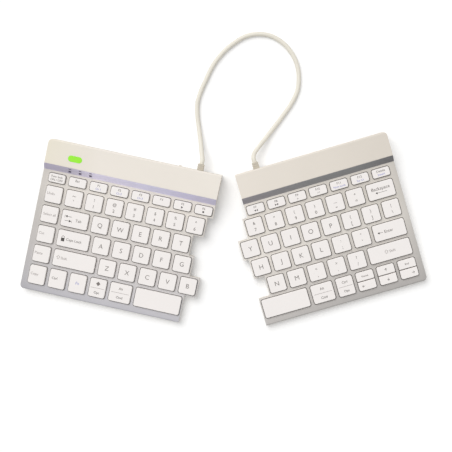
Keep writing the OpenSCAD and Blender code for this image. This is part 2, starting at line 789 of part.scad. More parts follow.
// Strain relief held in the back wall between the two cases
module gland(x) {
    color([0.82, 0.79, 0.73]) {
        block([x - gland_w / 2, case_back, parting - gland_w / 2],
            [x + gland_w / 2, case_back + gland_l, parting + gland_w / 2]);
        block([x - gland_neck / 2, case_back - wall_t - eps, parting - gland_neck / 2],
            [x + gland_neck / 2, case_back + eps, parting + gland_neck / 2]);
        block([x - gland_flange_w / 2, case_back - wall_t - gland_flange_t, parting - gland_flange_w / 2],
            [x + gland_flange_w / 2, case_back - wall_t, parting + gland_flange_w / 2]);
    }
}

// Feet stand upright on the desk and are cut off along the tilted underside
module feet(front_x, rear_x) {
    for (spot = concat([for (x = front_x) [x, foot_front_y, underside]],
            [for (x = rear_x) [x, foot_rear_y, bar_underside]]))
        difference() {
            translate([spot.x, on_desk(spot).y, 0]) cylinder(d = foot_d, h = 2 * foot_h);
            desk_tilt() translate([spot.x - foot_d, spot.y - foot_d, spot.z])
                cube([2 * foot_d, 2 * foot_d, 4 * foot_h]);
        }
}

module left_feet() {
    color([0.25, 0.25, 0.26]) translate(origin_shift) rotate(-left_turn)
        feet(left_front_feet, left_rear_feet);
}

module right_feet() {
    color([0.25, 0.25, 0.26]) right_turn() feet(right_front_feet, right_rear_feet);
}

module screws(front_x, ridge_x) {
    color([0.65, 0.66, 0.68]) {
        for (x = front_x) translate([x, front_boss_y, 0])
            screw_shape(front_screw_seat - screw_head_h, front_screw_seat, front_screw_top, 0);
        for (x = ridge_x) translate([x, ridge_boss_y, 0])
            screw_shape(ridge_screw_seat - screw_head_h, ridge_screw_seat, ridge_screw_top, 0);
    }
}

module cap_plan(w, d, r, facing) {
    rounded_plan(w, d, r);
    if (facing != 0) translate([0, facing * d / 4]) square([w, d / 2], center = true);
}

module keycap(w, d, facing) {
    color([0.95, 0.94, 0.92]) {
        difference() {
            union() {
                slab(-skirt_depth, key_rise - key_edge) cap_plan(w, d, key_corner, facing);
                slab(key_rise - key_edge - eps, key_rise)
                    cap_plan(w - 2 * key_edge, d - 2 * key_edge, key_corner - key_edge, facing);
            }
            slab(-skirt_depth - overcut, key_rise - cap_top)
                square([w - 2 * cap_wall, d - 2 * cap_wall], center = true);
        }
        for (dx = stem_offsets(w)) translate([dx, 0]) {
            slab(stem_low, key_rise - cap_top + eps) square(stem_w, center = true);
            slab(stem_low, stem_low + lip_t)
                square([stem_w + 2 * (stem_gap + stem_lip), stem_w], center = true);
        }
    }
}

module keys(some_caps, group) {
    for (k = some_caps) if (k[0] == group) translate([k[1], k[2]]) keycap(k[3], k[4], k[5]);
}

// Smooth line through the cable's points, from gland to gland
function curve_point(a, b, c, d, t) = 0.5 * (2 * b + (c - a) * t + (2 * a - 5 * b + 4 * c - d) * t * t
    + (3 * b - a - 3 * c + d) * t * t * t);
function smooth_line(p) = concat(
    [for (i = [0:len(p) - 2], s = [0:cable_steps - 1])
        curve_point(p[max(i - 1, 0)], p[i], p[i + 1], p[min(i + 2, len(p) - 1)], s / cable_steps)],
    [p[len(p) - 1]]);
function unit(v) = v / norm(v);

module cable_tube(line, first_way, last_way) {
    count = len(line);
    rings = [for (i = [0:count - 1])
        let (
            way = i == 0 ? first_way : i == count - 1 ? last_way : unit(line[i + 1] - line[i - 1]),
            across = unit(cross(way, [0, 0, 1])),
            up = cross(across, way)
        )
        [for (k = [0:cable_sides - 1])
            let (a = 360 * (k + 0.5) / cable_sides)
                line[i] + cable_d / 2 * (cos(a) * across + sin(a) * up)]];
    sides = [for (i = [0:count - 2], k = [0:cable_sides - 1])
        let (
            a = i * cable_sides + k,
            b = i * cable_sides + (k + 1) % cable_sides
        )
        each [[a, b, b + cable_sides], [a, b + cable_sides, a + cable_sides]]];
    last = (count - 1) * cable_sides;
    ends = [for (k = [1:cable_sides - 2]) each [[0, k + 1, k], [last, last + k, last + k + 1]]];
    polyhedron(points = [for (r = rings) each r], faces = concat(sides, ends));
}

module link_cable() {
    left_exit = left_on_desk([left_gland_x, case_back + gland_l, parting]) + origin_shift;
    right_exit = right_on_desk([right_gland_x, case_back + gland_l, parting]) + origin_shift;
    left_way = left_on_desk([0, 1, 0]) - left_on_desk([0, 0, 0]);
    right_way = right_on_desk([0, 1, 0]) - right_on_desk([0, 0, 0]);
    color([0.92, 0.9, 0.85]) cable_tube(
        smooth_line(concat([left_exit, left_exit + cable_d * left_way], cable_points,
            [right_exit + cable_d * right_way, right_exit])),
        left_way, -right_way);
}

left_half() left_top_case();
left_half() left_bottom_case();
left_half() left_band();
left_half() key_guide(LEFT, left_caps);  // left_key_guide
left_half() dome_sheet(LEFT, left_caps);  // left_dome_sheet
left_half() membrane(LEFT, left_tail_x);  // left_membrane
left_half() main_board();
left_half() battery();
left_half() charge_socket();
left_half() power_slider();
left_half() indicator_lenses();
left_half() gland(left_gland_x);  // left_gland
left_feet();
left_half() screws(left_front_screws, left_ridge_screws);  // left_screws
link_cable();
right_half() right_top_case();
right_half() right_bottom_case();
right_half() right_band();
right_half() key_guide(RIGHT, right_caps);  // right_key_guide
right_half() dome_sheet(RIGHT, right_caps);  // right_dome_sheet
right_half() membrane(RIGHT, right_tail_x);  // right_membrane
right_half() right_board();
right_half() gland(right_gland_x);  // right_gland
right_feet();
right_half() screws(right_front_screws, right_ridge_screws);  // right_screws
for (group = left_key_nodes) left_half() keys(left_caps, group);
for (group = right_key_nodes) right_half() keys(right_caps, group);
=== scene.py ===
# Looks of a split keyboard: two low halves on a desk, tied together by a short link cable.
# Sizes are in metres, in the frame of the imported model, and the file follows the order of assembly.
import json
import math

import bmesh
import bpy
from mathutils import Matrix, Vector
from mathutils.kdtree import KDTree
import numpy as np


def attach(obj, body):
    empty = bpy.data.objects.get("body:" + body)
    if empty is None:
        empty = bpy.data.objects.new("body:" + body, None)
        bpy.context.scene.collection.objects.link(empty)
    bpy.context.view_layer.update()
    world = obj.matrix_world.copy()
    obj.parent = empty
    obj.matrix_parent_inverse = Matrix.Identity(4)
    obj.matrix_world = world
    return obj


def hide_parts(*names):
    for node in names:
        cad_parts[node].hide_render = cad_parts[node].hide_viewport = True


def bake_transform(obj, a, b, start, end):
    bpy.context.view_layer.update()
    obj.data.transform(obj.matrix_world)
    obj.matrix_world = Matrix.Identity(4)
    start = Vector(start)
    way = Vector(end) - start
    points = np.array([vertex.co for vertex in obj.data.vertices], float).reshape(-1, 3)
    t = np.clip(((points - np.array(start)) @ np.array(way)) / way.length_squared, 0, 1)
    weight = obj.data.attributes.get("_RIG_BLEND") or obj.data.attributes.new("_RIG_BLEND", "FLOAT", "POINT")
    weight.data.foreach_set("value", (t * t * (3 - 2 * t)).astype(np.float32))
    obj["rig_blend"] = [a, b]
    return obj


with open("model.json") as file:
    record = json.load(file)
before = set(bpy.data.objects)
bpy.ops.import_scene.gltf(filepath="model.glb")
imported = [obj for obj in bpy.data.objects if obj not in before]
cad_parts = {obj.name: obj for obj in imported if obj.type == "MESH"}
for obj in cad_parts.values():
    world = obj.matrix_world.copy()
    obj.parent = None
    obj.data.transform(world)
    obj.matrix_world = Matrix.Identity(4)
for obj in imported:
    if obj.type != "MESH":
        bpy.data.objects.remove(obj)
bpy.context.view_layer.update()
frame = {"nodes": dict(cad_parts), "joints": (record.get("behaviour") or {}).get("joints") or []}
MM = 0.001


# Bottom cases: shallow injection-moulded trays of warm white ABS with a spark-eroded finish.
# A bar across the back holds the boards and lifts the rear edge; the top case closes on the rim.
def deck_turn(key_joint):
    """The turn of a half on the desk, from the travel of its keys, which is square to its deck."""
    up = -Vector(next(j["axis"] for j in frame["joints"] if j["name"] == key_joint)).normalized()
    return Matrix.Rotation(math.atan2(up.x, -up.y), 4, "Z") @ Matrix.Rotation(math.acos(up.z), 4, "X")


decks = {"left_half": deck_turn("key_q_press"), "right_half": deck_turn("key_y_press")}
sides = {"left_half": "left", "right_half": "right"}
merge_reach = 0.002 * MM
level_reach = 0.02 * MM
flat_turn = math.radians(0.5)
corner_turn = math.radians(35)
smooth_turn = math.radians(38)


def shape_on_deck(node, half):
    """A CAD node's shape in the frame of its deck, merged, with its flat faces whole again."""
    shape = bmesh.new()
    shape.from_mesh(frame["nodes"][node].data)
    shape.transform(decks[half].inverted())
    bmesh.ops.remove_doubles(shape, verts=shape.verts, dist=merge_reach)
    bmesh.ops.dissolve_limit(shape, angle_limit=flat_turn, verts=shape.verts, edges=shape.edges)
    return shape


def sharp_edges(shape, level=None):
    """Sharp edges of a shape, or only those that lie at one level of its deck."""
    return [
        e for e in shape.edges
        if e.is_manifold and e.calc_face_angle() > corner_turn
        and (level is None or all(abs(v.co.z - level) < level_reach for v in e.verts))]


def ease(shape, edges, width, segments=2):
    """Rounds some edges of a shape over a width."""
    bmesh.ops.bevel(
        shape, geom=edges, offset=width, offset_type="OFFSET", affect="EDGES",
        segments=segments, profile=0.5, material=-1, clamp_overlap=False)


def finished(name, shape, half, body, material, stands_for=None):
    """Turns a shape made on a deck into a named piece in its place, which rides on a body."""
    shape.transform(decks[half])
    mesh = bpy.data.meshes.new(name)
    shape.to_mesh(mesh)
    shape.free()
    old_normals = mesh.attributes.get("custom_normal")
    if old_normals:
        mesh.attributes.remove(old_normals)
    mesh.shade_smooth()
    mesh.set_sharp_from_angle(angle=smooth_turn)
    for finish in material if isinstance(material, list) else [material]:
        mesh.materials.append(finish)
    piece = bpy.data.objects.new(name, mesh)
    bpy.context.scene.collection.objects.link(piece)
    level = piece.modifiers.new("flat_faces", "WEIGHTED_NORMAL")
    level.keep_sharp = True
    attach(piece, body)
    if stands_for:
        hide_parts(stands_for)
    return piece


def ink(red, green, blue):
    """A colour as a screen shows it, from 0 to 255, as the linear colour that a shader takes."""
    return (*(((c / 255 + 0.055) / 1.055) ** 2.4 for c in (red, green, blue)), 1)


def make_moulded_grain():
    """Shared look of moulded plastic: colour that drifts a little, and a fine eroded grain."""
    group = bpy.data.node_groups.new("moulded_grain", "ShaderNodeTree")
    sockets = group.interface.new_socket
    sockets("Colour", in_out="INPUT", socket_type="NodeSocketColor")
    for title in ("Mottle", "Grain", "Depth", "Gloss"):
        sockets(title, in_out="INPUT", socket_type="NodeSocketFloat")
    sockets("Colour", in_out="OUTPUT", socket_type="NodeSocketColor")
    sockets("Roughness", in_out="OUTPUT", socket_type="NodeSocketFloat")
    sockets("Normal", in_out="OUTPUT", socket_type="NodeSocketVector")
    add, link = group.nodes.new, group.links.new
    given, made = add("NodeGroupInput"), add("NodeGroupOutput")
    place = add("ShaderNodeTexCoord")
    cloud = add("ShaderNodeTexNoise")
    cloud.inputs["Scale"].default_value = 38
    cloud.inputs["Detail"].default_value = 4
    grain = add("ShaderNodeTexNoise")
    grain.inputs["Detail"].default_value = 2
    link(place.outputs["Object"], cloud.inputs["Vector"])
    link(place.outputs["Object"], grain.inputs["Vector"])
    link(given.outputs["Grain"], grain.inputs["Scale"])
    # the colour is a little lighter and darker from place to place
    drift = add("ShaderNodeMapRange")
    drift.inputs["To Min"].default_value = -1
    link(cloud.outputs["Fac"], drift.inputs["Value"])
    share = add("ShaderNodeMath")
    share.operation = "MULTIPLY_ADD"
    share.inputs[2].default_value = 1
    link(drift.outputs["Result"], share.inputs[0])
    link(given.outputs["Mottle"], share.inputs[1])
    tone = add("ShaderNodeVectorMath")
    tone.operation = "SCALE"
    link(given.outputs["Colour"], tone.inputs[0])
    link(share.outputs["Value"], tone.inputs["Scale"])
    link(tone.outputs["Vector"], made.inputs["Colour"])
    # the hollows of the grain are duller than its peaks
    sheen = add("ShaderNodeMath")
    sheen.operation = "MULTIPLY_ADD"
    sheen.inputs[1].default_value = -0.16
    link(grain.outputs["Fac"], sheen.inputs[0])
    link(given.outputs["Gloss"], sheen.inputs[2])
    link(sheen.outputs["Value"], made.inputs["Roughness"])
    bump = add("ShaderNodeBump")
    bump.inputs["Strength"].default_value = 0.5
    link(given.outputs["Depth"], bump.inputs["Distance"])
    link(grain.outputs["Fac"], bump.inputs["Height"])
    link(bump.outputs["Normal"], made.inputs["Normal"])
    return group


moulded_grain = make_moulded_grain()


def moulded(name, colour, gloss=0.6, mottle=0.03, grain=2600, depth=0.02 * MM):
    """A material with the moulded look; its grain node is named, so that a colour can be linked in."""
    material = bpy.data.materials.new(name)
    material.use_nodes = True
    tree = material.node_tree
    effect = tree.nodes.new("ShaderNodeGroup")
    effect.name = "moulded_grain"
    effect.node_tree = moulded_grain
    for title, value in (("Colour", colour), ("Mottle", mottle), ("Grain", grain), ("Depth", depth),
                         ("Gloss", gloss)):
        effect.inputs[title].default_value = value
    surface = tree.nodes["Principled BSDF"]
    tree.links.new(effect.outputs["Colour"], surface.inputs["Base Color"])
    tree.links.new(effect.outputs["Roughness"], surface.inputs["Roughness"])
    tree.links.new(effect.outputs["Normal"], surface.inputs["Normal"])
    return material


case_white = ink(232, 225, 215)
tray_edge = 0.25 * MM
tray_plastic = moulded("bottom_case_plastic", case_white, gloss=0.66, depth=0.03 * MM)
for half, side in sides.items():
    tray = shape_on_deck(side + "_bottom_case", half)
    ease(tray, sharp_edges(tray), tray_edge)
    finished(side + "_tray", tray, half, half, tray_plastic, side + "_bottom_case")


# Circuit boards: glass-epoxy sheets with green solder mask over copper traces, screwed to the rear bar.
# The left one carries the switch housing, and the right one only joins its membrane to the cable.
def dress(node, material):
    """Gives a CAD node that stays in view its finish."""
    slots = frame["nodes"][node].data.materials
    slots.clear()
    slots.append(material)


def make_solder_mask():
    material = moulded("circuit_board", ink(38, 92, 62), gloss=0.4, mottle=0.08, grain=900,
                       depth=0.005 * MM)
    tree = material.node_tree
    place = tree.nodes.new("ShaderNodeTexCoord")
    traces = tree.nodes.new("ShaderNodeTexBrick")
    traces.inputs["Color1"].default_value = ink(34, 84, 56)
    traces.inputs["Color2"].default_value = ink(42, 98, 66)
    traces.inputs["Mortar"].default_value = ink(74, 138, 92)
    traces.inputs["Scale"].default_value = 160
    traces.inputs["Mortar Size"].default_value = 0.06
    tree.links.new(place.outputs["Object"], traces.inputs["Vector"])
    tree.links.new(traces.outputs["Color"], tree.nodes["moulded_grain"].inputs["Colour"])
    return material


solder_mask = make_solder_mask()
dress("main_board", solder_mask)
dress("right_board", solder_mask)


# Battery: a flat pouch cell in aluminium foil, laid in a pocket of the left rear bar.
# Its foil is slightly creased and not quite mirror bright.
def make_foil():
    material = moulded("battery_foil", ink(196, 198, 202), gloss=0.42, mottle=0.05, grain=420,
                       depth=0.25 * MM)
    material.node_tree.nodes["Principled BSDF"].inputs["Metallic"].default_value = 1
    return material


dress("battery", make_foil())


# Charging socket: a drawn steel shell with rounded ends in the back wall of the left half.
# It is soldered to the main board, and a thin tongue stands in its mouth.
def make_steel(name, colour, gloss, grain):
    material = moulded(name, colour, gloss=gloss, mottle=0.04, grain=grain, depth=0.004 * MM)
    material.node_tree.nodes["Principled BSDF"].inputs["Metallic"].default_value = 1
    return material


socket_edge = 0.08 * MM
socket = shape_on_deck("charge_socket", "left_half")
ease(socket, sharp_edges(socket), socket_edge)
finished("charge_socket_shell", socket, "left_half", "left_half",
         make_steel("socket_steel", ink(186, 186, 184), 0.42, 1800), "charge_socket")


# Power slider: a small acetal nub in the case colour, on a carriage in the switch housing.
# It shows through a slot in the back wall, and a fingertip pushes it along.
slider_edge = 0.12 * MM
slider = shape_on_deck("power_slider", "left_half")
ease(slider, sharp_edges(slider), slider_edge)
finished("power_nub", slider, "left_half", "power_slider",
         moulded("slider_plastic", ink(222, 214, 202), gloss=0.5), "power_slider")


# Membranes: two printed polyester films on a spacer, laid on the floor of each bottom case.
# Silver ink runs under every key, and a tail with its plug reaches back to the board.
def make_membrane():
    material = moulded("membrane_film", ink(206, 208, 206), gloss=0.4, mottle=0.04, grain=300,
                       depth=0.01 * MM)
    tree = material.node_tree
    place = tree.nodes.new("ShaderNodeTexCoord")
    prints = tree.nodes.new("ShaderNodeTexWave")
    prints.inputs["Scale"].default_value = 90
    prints.inputs["Distortion"].default_value = 3
    shades = tree.nodes.new("ShaderNodeValToRGB")
    shades.color_ramp.elements[0].color = ink(150, 152, 152)
    shades.color_ramp.elements[0].position = 0.25
    shades.color_ramp.elements[1].color = ink(208, 210, 208)
    shades.color_ramp.elements[1].position = 0.4
    tree.links.new(place.outputs["Object"], prints.inputs["Vector"])
    tree.links.new(prints.outputs["Color"], shades.inputs["Fac"])
    tree.links.new(shades.outputs["Color"], tree.nodes["moulded_grain"].inputs["Colour"])
    return material


membrane_film = make_membrane()
dress("left_membrane", membrane_film)
dress("right_membrane", membrane_film)


# Dome sheets: milky silicone with a dome under each stem, moulded in one piece per half.
# They lie on the membrane and push the keys back up.
dome_silicone = moulded("dome_silicone", ink(224, 226, 222), gloss=0.62, mottle=0.04, grain=700)
milkiness = dome_silicone.node_tree.nodes["Principled BSDF"].inputs
milkiness["Subsurface Weight"].default_value = 0.2
milkiness["Subsurface Scale"].default_value = 1.5 * MM
dress("left_dome_sheet", dome_silicone)
dress("right_dome_sheet", dome_silicone)


# Key guides: ribbed plates of dark grey ABS with a square shaft for every stem.
# Each is clamped between its two cases and shows only as the floor of the gaps round the keys; it is set
# very dark as painted shade, so that the gaps read as deep shadow lines.
guide_plastic = moulded("guide_plastic", ink(30, 27, 25), gloss=0.8, grain=1500)
dress("left_key_guide", guide_plastic)
dress("right_key_guide", guide_plastic)


# Keycaps: flat white caps of ABS, moulded with their stems, with a soft rim and round corners.
# They drop into the guide from above, and their lips catch under it.
def solids(shape):
    """The separate solids of a shape, as lists of vertices, row by row from the back left."""
    seen, found = set(), []
    for start in shape.verts:
        if start in seen:
            continue
        seen.add(start)
        solid, reached = [], [start]
        while reached:
            vert = reached.pop()
            solid.append(vert)
            near = {e.other_vert(vert) for e in vert.link_edges} - seen
            seen |= near
            reached += near
        found.append(solid)
    middles = {id(s): sum(extent(s), Vector()) / 2 for s in found}
    back = max(m.y for m in middles.values())
    row_step = 3 * MM
    return sorted(found, key=lambda s: (round((back - middles[id(s)].y) / row_step), middles[id(s)].x))


def extent(verts):
    """The lowest and highest corners of some vertices."""
    return [Vector([pick(v.co[i] for v in verts) for i in range(3)]) for pick in (min, max)]


def add_block(shape, low, high):
    """Adds a box between two corners."""
    place = Matrix.Translation((low + high) / 2) @ Matrix.Diagonal((*(high - low), 1))
    bmesh.ops.create_cube(shape, size=1, matrix=place)


cap_height = 2.5 * MM
cap_top = 1.2 * MM
cap_wall = 1 * MM
cap_corner = 1.7 * MM
cap_clear = 0.06 * MM
cap_draft = 0.22 * MM
corner_segments = 6
rim = 0.45 * MM
rim_segments = 3
stem_width = 4.6 * MM
lip_overhang = 0.7 * MM
lip_height = 0.6 * MM
single_stem_max = 24 * MM
outer_stem_inset = 6 * MM


def add_cap(caps, low, high, square_side):
    """Adds a hollow cap with its stems. Both corners stay square at the back (square_side 1) or at the
    front (square_side -1) of a cap that faces another one in the same window."""
    cap = bmesh.new()
    middle = (low + high) / 2
    add_block(cap, Vector((low.x, low.y, high.z - cap_height)), high)
    upright = [
        e for e in cap.edges if abs(e.verts[0].co.z - e.verts[1].co.z) > cap_height / 2
        and (e.verts[0].co.y - middle.y) * square_side <= 0]
    ease(cap, upright, cap_corner, corner_segments)
    size = high - low
    upper = [v for v in cap.verts if v.co.z > high.z - cap_height / 2]
    for verts, inset in ((cap.verts, cap_clear), (upper, cap_draft)):
        slim = Vector((1 - 2 * inset / size.x, 1 - 2 * inset / size.y, 1))
        bmesh.ops.scale(cap, vec=slim, space=Matrix.Translation(-middle), verts=verts)
    ease(cap, sharp_edges(cap, high.z), rim, rim_segments)
    floor = min(cap.faces, key=lambda f: f.normal.z)
    bmesh.ops.inset_region(cap, faces=[floor], thickness=cap_wall, use_even_offset=True)
    roof = bmesh.ops.extrude_discrete_faces(cap, faces=[floor])["faces"][0]
    bmesh.ops.translate(cap, vec=(0, 0, cap_height - cap_top), verts=roof.verts)
    reach = size.x / 2 - outer_stem_inset
    for right in (0,) if size.x < single_stem_max else (0, -reach, reach):
        foot = Vector((middle.x + right, middle.y, low.z))
        half_stem = Vector((stem_width / 2, stem_width / 2, 0))
        half_lip = half_stem + Vector((lip_overhang, 0, 0))
        root = Vector((0, 0, high.z - cap_top + tray_edge - low.z))
        add_block(cap, foot - half_stem, foot + half_stem + root)
        add_block(cap, foot - half_lip, foot + half_lip + Vector((0, 0, lip_height)))
    made = bpy.data.meshes.new("cap")
    cap.to_mesh(made)
    cap.free()
    caps.from_mesh(made)
    bpy.data.meshes.remove(made)


key_white = ink(247, 242, 239)
key_plastic = moulded("key_plastic", key_white, gloss=0.58, mottle=0.012, grain=3200, depth=0.008 * MM)
key_nodes = {
    "left_half": ["key_" + c for c in "qwertasdfgzxcvb"]
    + ["left_space_key", "left_function_keys", "left_number_keys", "left_command_keys"],
    "right_half": ["key_" + c for c in "yuiophjklnm"]
    + ["right_space_key", "right_function_keys", "right_symbol_keys", "right_command_keys",
       "arrow_keys"],
}
square_sides = {"arrow_keys": [-1, -1, -1, 1, 1, 1]}
key_tops = {}
for half, nodes in key_nodes.items():
    for node in nodes:
        plain_caps = shape_on_deck(node, half)
        key_tops[node] = [extent(s) for s in solids(plain_caps)]
        plain_caps.free()
        caps = bmesh.new()
        for number, (low, high) in enumerate(key_tops[node]):
            add_cap(caps, low, high, square_sides[node][number] if node in square_sides else 0)
        finished(node + "_caps", caps, half, node, key_plastic, node)


# Key prints: plain letters, numbers and words, laser-marked in greys and violet on the caps.
# Each is a film 0.05 mm thick that is sunk halfway into the cap.
DARK, GREY, PALE, VIOLET = range(4)
print_inks = [
    moulded("dark_print", ink(84, 79, 76), gloss=0.7, mottle=0.06),
    moulded("grey_print", ink(126, 120, 116), gloss=0.7, mottle=0.06),
    moulded("pale_print", ink(170, 163, 160), gloss=0.7, mottle=0.04),
    moulded("violet_print", ink(158, 160, 208), gloss=0.7, mottle=0.04),
]
print_thick = 0.05 * MM
capital_share = 0.686
small_print = 3
small_stroke = 0.03 * MM
crossing_signs = set("4♪")


def add_print(sheet, cap, words, capital, right=0, back=0, shade=GREY, align=0):
    """Adds words to a sheet of prints: capital is their height, and right and back their place on the
    cap in millimetres. They are centred there, or start there (align 1), or end there (align -1).
    Small words have bolder strokes, as they need to be read, unless their outlines would cross. The type
    is set in millimetres and then scaled down, because very small outlines don't fill well."""
    low, high = cap
    letters = bpy.data.curves.new("print", "FONT")
    letters.body = words
    letters.size = capital / capital_share
    letters.extrude = print_thick / MM / 2
    bolder = capital < small_print and not crossing_signs & set(words)
    letters.offset = small_stroke / MM if bolder else 0
    letters.resolution_u = 3
    holder = bpy.data.objects.new("print", letters)
    mesh = bpy.data.meshes.new_from_object(holder)
    mesh.transform(Matrix.Scale(MM, 4))
    mesh.polygons.foreach_set("material_index", [shade] * len(mesh.polygons))
    first, last = extent(mesh.vertices)
    anchor = ((first.x + last.x) / 2, first.x, last.x)[align]
    place = Vector([(low.x + high.x) / 2 + right * MM - anchor,
                    (low.y + high.y) / 2 + (back - capital / 2) * MM, high.z])
    mesh.transform(Matrix.Translation(place))
    sheet.from_mesh(mesh)
    bpy.data.objects.remove(holder)
    bpy.data.curves.remove(letters)
    bpy.data.meshes.remove(mesh)


def add_rule(sheet, cap, length, right=0, back=0, shade=PALE, width=0.35):
    """Adds a thin straight line along the rows to a sheet of prints, in millimetres."""
    low, high = cap
    middle = Vector([(low.x + high.x) / 2 + right * MM, (low.y + high.y) / 2 + back * MM, high.z])
    size = (length * MM, width * MM, print_thick, 1)
    place = Matrix.Translation(middle) @ Matrix.Diagonal(size)
    made = bmesh.ops.create_cube(sheet, size=1, matrix=place)
    for face in {f for v in made["verts"] for f in v.link_faces}:
        face.material_index = shade


slight_signs = "~`_-"
slight_scale = 1.6
upper_capital, upper_back = 2.6, 2.9
lower_capital, lower_back = 2.9, -3
label_capital, label_back = 2, 1.6
mark_capital, mark_back = 1.8, -1.5


def double(upper, lower):
    """Two signs, one above the other; those that are slight in the type are set larger."""
    large = [slight_scale if sign in slight_signs else 1 for sign in (upper, lower)]
    return [(upper, upper_capital * large[0], 0, upper_back, GREY),
            (lower, lower_capital * large[1], 0, lower_back, GREY)]


def function(label, mark="", capital=mark_capital, shade=VIOLET):
    """A function key's label, with a mark below it for what it does together with Fn."""
    below = [(mark, capital, 0, mark_back, shade)] if mark else []
    return [(label, label_capital, 0, label_back, GREY), *below]


def two_way(upper, capital, lower):
    """Two words for the two kinds of computer, which a rule parts."""
    return [(upper, capital, 0, 4, GREY), (lower, 2.1, 0, -4.2, DARK)]


edit_left = -6.2
prints = {"key_" + c: [[(c.upper(), 4.1)]] for c in "qwertasdfgzxcvbyuiophjklnm"}
prints["left_function_keys"] = [
    [("Func lock", 1.9, 0, label_back, GREY), ("ON / OFF", 1.9, 0, mark_back, GREY)],
    [("Esc", 2.2, 0, label_back, GREY)],
    *[function(f"F{n}", f"Ch {n}") for n in (1, 2, 3)],
    function("F4"),
    function("F5", "▶", 1.6, DARK),
    function("F6", "■", 1.5, DARK),
]
prints["right_function_keys"] = [
    function("F7", "◀◀", 1.4, DARK),
    function("F8", "▶▶", 1.4, DARK),
    function("F9", "♪-", 1.7, DARK),
    function("F10", "♪+", 1.7, DARK),
    function("F11", "Num Lock"),
    function("F12", "Scr Lk"),
    function("Delete", "Insert", 2.0),
]
prints["left_number_keys"] = [double(*pair) for pair in zip("~!@#$%^", "`123456")]
prints["right_symbol_keys"] = [
    double(*pair) for pair in zip("&*()_+{}|:\"<>?", "7890-=[]\\;',./")]
prints["left_command_keys"] = [
    [("Undo", 2.3, edit_left, 0.8, PALE, 1)],
    [("Select all", 2.3, 0, 0.2, PALE)],
    [("|◀", 1.7, -9.6, 2.0, DARK, 1), ("▶|", 1.7, -2.4, -2.0, DARK, -1), ("Tab", 2.5, 3.6, -0.4)],
    [("Cut", 2.3, edit_left, 0.8, PALE, 1)],
    [("O", 2.6, -9.6, 1.1, GREY), ("■", 2.9, -9.6, -1.3, DARK), ("Caps Lock", 2.35, 0.8, -0.3)],
    [("Paste", 2.4, edit_left, 0.8, PALE, 1)],
    [("⇧", 3.2, -17, 0.6, PALE, 1), ("Shift", 2.3, -12.6, 0.4, PALE, 1)],
    [("Copy", 2.3, edit_left, 0.8, PALE, 1)],
    [("Ctrl", 2.3, edit_left + 1, 0.6, GREY, 1)],
    [("Fn", 2.6, 0, 0.4, VIOLET)],
    two_way("◆", 3.0, "Opt"),
    two_way("Alt", 2.2, "Cmd"),
]
prints["right_command_keys"] = [
    [("Backspace", 2.9, 0, 1.9), ("◀", 1.6, -4.6, -1.9, DARK)],
    [("◀", 1.6, -10.4, -0.2, DARK), ("Enter", 2.6, -0.8, 0)],
    [("⇧", 3.2, -5.2, 0.4, PALE, 1), ("Shift", 2.3, -0.6, 0.2, PALE, 1)],
    two_way("Alt", 2.2, "Cmd"),
    two_way("Ctrl", 2.2, "Opt"),
]
prints["arrow_keys"] = [
    [("Home", 1.7)], [("↑", 2.5, 0, 0, DARK)], [("End", 1.7)],
    [("←", 2.4, -5.0, 0, DARK, 1)], [("↓", 2.5, 0, 0, DARK)], [("→", 2.5, 5.0, 0, DARK, -1)],
]
split_rule = 12.6
rules = {
    ("left_command_keys", 2): [(4.6, -5.3, 2.0, DARK), (4.6, -6.8, -2.0, DARK)],
    ("left_command_keys", 10): [(split_rule, 0, 0)],
    ("left_command_keys", 11): [(split_rule + 4, 0, 0)],
    ("right_command_keys", 0): [(8.5, 0.8, -1.9, GREY)],
    ("right_command_keys", 1): [(3.6, -8.0, -0.2, GREY)],
    ("right_command_keys", 3): [(split_rule + 4, 0, 0)],
    ("right_command_keys", 4): [(split_rule, 0, 0)],
}
for half, nodes in key_nodes.items():
    for node in nodes:
        if node not in prints:
            continue
        sheet = bmesh.new()
        for number, (cap, words) in enumerate(zip(key_tops[node], prints[node], strict=True)):
            for line in words:
                add_print(sheet, cap, *line)
            for rule in rules.get((node, number), ()):
                add_rule(sheet, cap, *rule)
        finished(node + "_prints", sheet, half, node, print_inks)


# Top cases: the same warm white ABS, one moulding with a window for each key and the raised ridge.
# The deck's colour is painted shade, darker than the ridge and greyer towards the front, and screws from
# below hold it on the tray.
key_rise = 2.2 * MM
parting_drop = 3.1 * MM
window_edge = 0.05 * MM
ridge_start = 0.4 * MM
wall_fade = 0.4
# Painted shade on the deck, front to back: darker than the case's own white and greyest at the front, with a
# painted lavender reflection at the front of the left half.
deck_painted_shade = {
    "left_half": [(0, ink(194, 192, 198)), (0.08, ink(202, 200, 202)), (0.32, ink(212, 207, 204)),
                  (0.58, ink(218, 213, 207)), (0.71, ink(229, 223, 216)), (0.81, ink(222, 216, 209))],
    "right_half": [(0, ink(185, 181, 178)), (0.08, ink(194, 190, 186)), (0.32, ink(210, 205, 199)),
                   (0.45, ink(222, 217, 210)), (0.58, ink(217, 212, 204)), (0.81, ink(217, 211, 203))],
}
# The ridge's own warm white, painted darker towards the outer end of each half as light falloff.
ridge_colour_and_painted_falloff = {
    "left_half": [(0, ink(236, 229, 212)), (0.3, ink(240, 233, 223))],
    "right_half": [(0, ink(236, 228, 217)), (0.45, ink(232, 224, 213)), (0.95, ink(224, 216, 205))],
}
# Painted light falloff across each deck, as factors: the left half darker towards its outer left end, the
# right half lighter at its inner end and darker at its outer end.
painted_falloff_across = {
    "left_half": [(0, 0.84), (0.03, 0.85), (0.06, 0.9), (0.3, 0.98), (0.45, 1)],
    "right_half": [(0, 1.12), (0.35, 1), (0.65, 0.94), (0.97, 0.92), (1, 0.86)],
}


